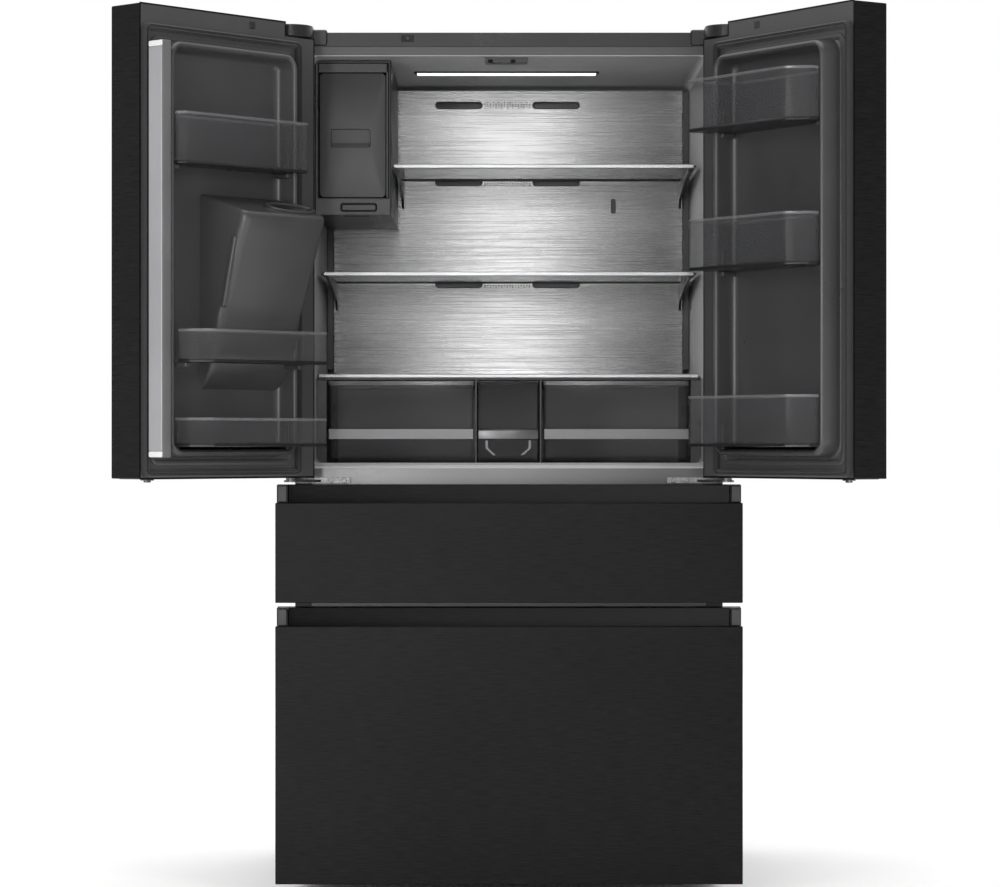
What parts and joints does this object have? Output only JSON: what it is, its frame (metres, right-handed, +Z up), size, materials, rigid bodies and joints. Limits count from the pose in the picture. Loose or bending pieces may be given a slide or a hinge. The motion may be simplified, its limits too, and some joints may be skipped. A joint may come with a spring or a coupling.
{
  "type": "french door refrigerator",
  "caption": "Tall refrigerator with side-hinged doors over wide freezer drawers, shelves, crispers and an ice maker, doors open.",
  "frame": {"origin": "on the floor, at the centre of the rectangle of levelling feet, which is the middle of the cabinet in width and depth", "axes": "+Z up, +X to the right of a person facing the doors, +Y towards the back"},
  "size_m": [1.4491, 1.0806, 1.702],
  "materials": {
    "black_steel": "brushed, dark coated",
    "cabinet_steel": "satin",
    "black_plastic": "fine texture",
    "grey_plastic": "fine texture",
    "liner": "satin",
    "door_liner": "satin",
    "freezer_liner": "satin",
    "foam": "foam",
    "duct_steel": "brushed horizontally",
    "trim_metal": "bright satin",
    "sill_metal": "satin",
    "hinge_steel": "plated",
    "shelf_glass": "clear",
    "smoked_plastic": "clear, smoked",
    "lens": "frosted lens",
    "gasket": "matt",
    "foot": "matt",
    "base_steel": "satin",
    "coil": "bare",
    "compressor": "enamelled",
    "panel_glass": "polished",
    "mullion": "satin"
  },
  "bodies": {
    "cabinet": {"cabinet_shell": "cabinet_steel", "insulation": "foam", "fridge_liner": "liner", "drawer_liners": "freezer_liner", "top_trim": "black_plastic", "cross_rails": "sill_metal", "duct_panel": "duct_steel", "ceiling_light": "lens", "mullion_guide": "grey_plastic", "ice_housing": "black_plastic", "ice_maker": "grey_plastic", "shelf_glass": "shelf_glass", "shelf_trims": "trim_metal", "shelf_brackets": "black_plastic", "ladder_rails": "grey_plastic", "crisper_frame": "black_plastic", "hinge_brackets": "hinge_steel", "base_frame": "base_steel", "levelling_feet": "foot", "rear_cover": "base_steel", "compressor": "compressor", "condenser": "coil", "evaporator": "coil", "power_inlet": "gasket", "drawer_rails": "hinge_steel"},
    "left_door": {"left_door_shell": "black_steel", "left_door_core": "foam", "left_door_liner": "door_liner", "left_door_gasket": "gasket", "dispenser_recess": "black_plastic", "dispenser_panel": "panel_glass"},
    "right_door": {"right_door_shell": "black_steel", "right_door_core": "foam", "right_door_liner": "door_liner", "right_door_gasket": "gasket"},
    "flip_mullion": {"flip_mullion": "mullion"},
    "upper_drawer": {"upper_drawer_front": "black_steel", "upper_drawer_grip": "grey_plastic", "upper_drawer_tub": "freezer_liner", "upper_drawer_gasket": "gasket"},
    "lower_drawer": {"lower_drawer_front": "black_steel", "lower_drawer_grip": "grey_plastic", "lower_drawer_tub": "freezer_liner", "lower_drawer_gasket": "gasket"},
    "freezer_basket": {"freezer_basket": "freezer_liner"},
    "crisper_left": {"crisper_left": "smoked_plastic", "crisper_left_trim": "trim_metal"},
    "crisper_right": {"crisper_right": "smoked_plastic", "crisper_right_trim": "trim_metal"},
    "water_tank": {"water_tank": "smoked_plastic"},
    "ice_bucket": {"ice_bucket": "black_plastic"},
    "drip_tray": {"drip_tray": "grey_plastic"},
    "dispenser_paddle": {"dispenser_paddle": "black_plastic"},
    "condenser_fan": {"condenser_fan": "black_plastic"},
    "left_bin_upper": {"left_bin_upper": "smoked_plastic"},
    "left_bin_middle": {"left_bin_middle": "smoked_plastic"},
    "left_bin_lower": {"left_bin_lower": "smoked_plastic"},
    "right_bin_upper": {"right_bin_upper": "smoked_plastic"},
    "right_bin_middle": {"right_bin_middle": "smoked_plastic"},
    "right_bin_lower": {"right_bin_lower": "smoked_plastic"}
  },
  "joints": [
    {"name": "left_door_hinge", "type": "hinge", "parent": "cabinet", "child": "left_door", "pos_m": [-0.428, -0.373, 1.259], "axis": [0, 0, -1], "range_deg": [-132, 3]},
    {"name": "right_door_hinge", "type": "hinge", "parent": "cabinet", "child": "right_door", "pos_m": [0.428, -0.373, 1.259], "axis": [0, 0, 1], "range_deg": [-124, 11]},
    {"name": "mullion_hinge", "type": "hinge", "parent": "left_door", "child": "flip_mullion", "pos_m": [-0.66417, -0.71711, 1.243], "axis": [0, 0, 1], "range_deg": [-90, 0]},
    {"name": "upper_drawer_slide", "type": "slide", "parent": "cabinet", "child": "upper_drawer", "axis": [0, -1, 0], "range_m": [0, 0.42]},
    {"name": "lower_drawer_slide", "type": "slide", "parent": "cabinet", "child": "lower_drawer", "axis": [0, -1, 0], "range_m": [0, 0.36]},
    {"name": "freezer_basket_slide", "type": "slide", "parent": "lower_drawer", "child": "freezer_basket", "axis": [0, 1, 0], "range_m": [0, 0.15]},
    {"name": "crisper_left_slide", "type": "slide", "parent": "cabinet", "child": "crisper_left", "axis": [0, -1, 0], "range_m": [0, 0.25]},
    {"name": "crisper_right_slide", "type": "slide", "parent": "cabinet", "child": "crisper_right", "axis": [0, -1, 0], "range_m": [0, 0.25]},
    {"name": "water_tank_slide", "type": "slide", "parent": "cabinet", "child": "water_tank", "axis": [0, -1, 0], "range_m": [0, 0.25]},
    {"name": "ice_bucket_slide", "type": "slide", "parent": "cabinet", "child": "ice_bucket", "axis": [0, -1, 0], "range_m": [0, 0.28]},
    {"name": "drip_tray_lift", "type": "slide", "parent": "left_door", "child": "drip_tray", "axis": [0, 0, 1], "range_m": [0, 0.03]},
    {"name": "paddle_hinge", "type": "hinge", "parent": "left_door", "child": "dispenser_paddle", "pos_m": [-0.52675, -0.54245, 1.284], "axis": [-0.6691, -0.7431, 0], "range_deg": [0, 9], "stiffness_Nm_per_rad": 0.4},
    {"name": "condenser_fan_spin", "type": "hinge", "parent": "cabinet", "child": "condenser_fan", "pos_m": [0.02, 0.215, 0.146], "axis": [1, 0, 0], "continuous": true},
    {"name": "left_bin_upper_lift", "type": "slide", "parent": "left_door", "child": "left_bin_upper", "axis": [0, 0, 1], "range_m": [0, 0.03]},
    {"name": "left_bin_middle_lift", "type": "slide", "parent": "left_door", "child": "left_bin_middle", "axis": [0, 0, 1], "range_m": [0, 0.03]},
    {"name": "left_bin_lower_lift", "type": "slide", "parent": "left_door", "child": "left_bin_lower", "axis": [0, 0, 1], "range_m": [0, 0.03]},
    {"name": "right_bin_upper_lift", "type": "slide", "parent": "right_door", "child": "right_bin_upper", "axis": [0, 0, 1], "range_m": [0, 0.03]},
    {"name": "right_bin_middle_lift", "type": "slide", "parent": "right_door", "child": "right_bin_middle", "axis": [0, 0, 1], "range_m": [0, 0.03]},
    {"name": "right_bin_lower_lift", "type": "slide", "parent": "right_door", "child": "right_bin_lower", "axis": [0, 0, 1], "range_m": [0, 0.03]}
  ]
}
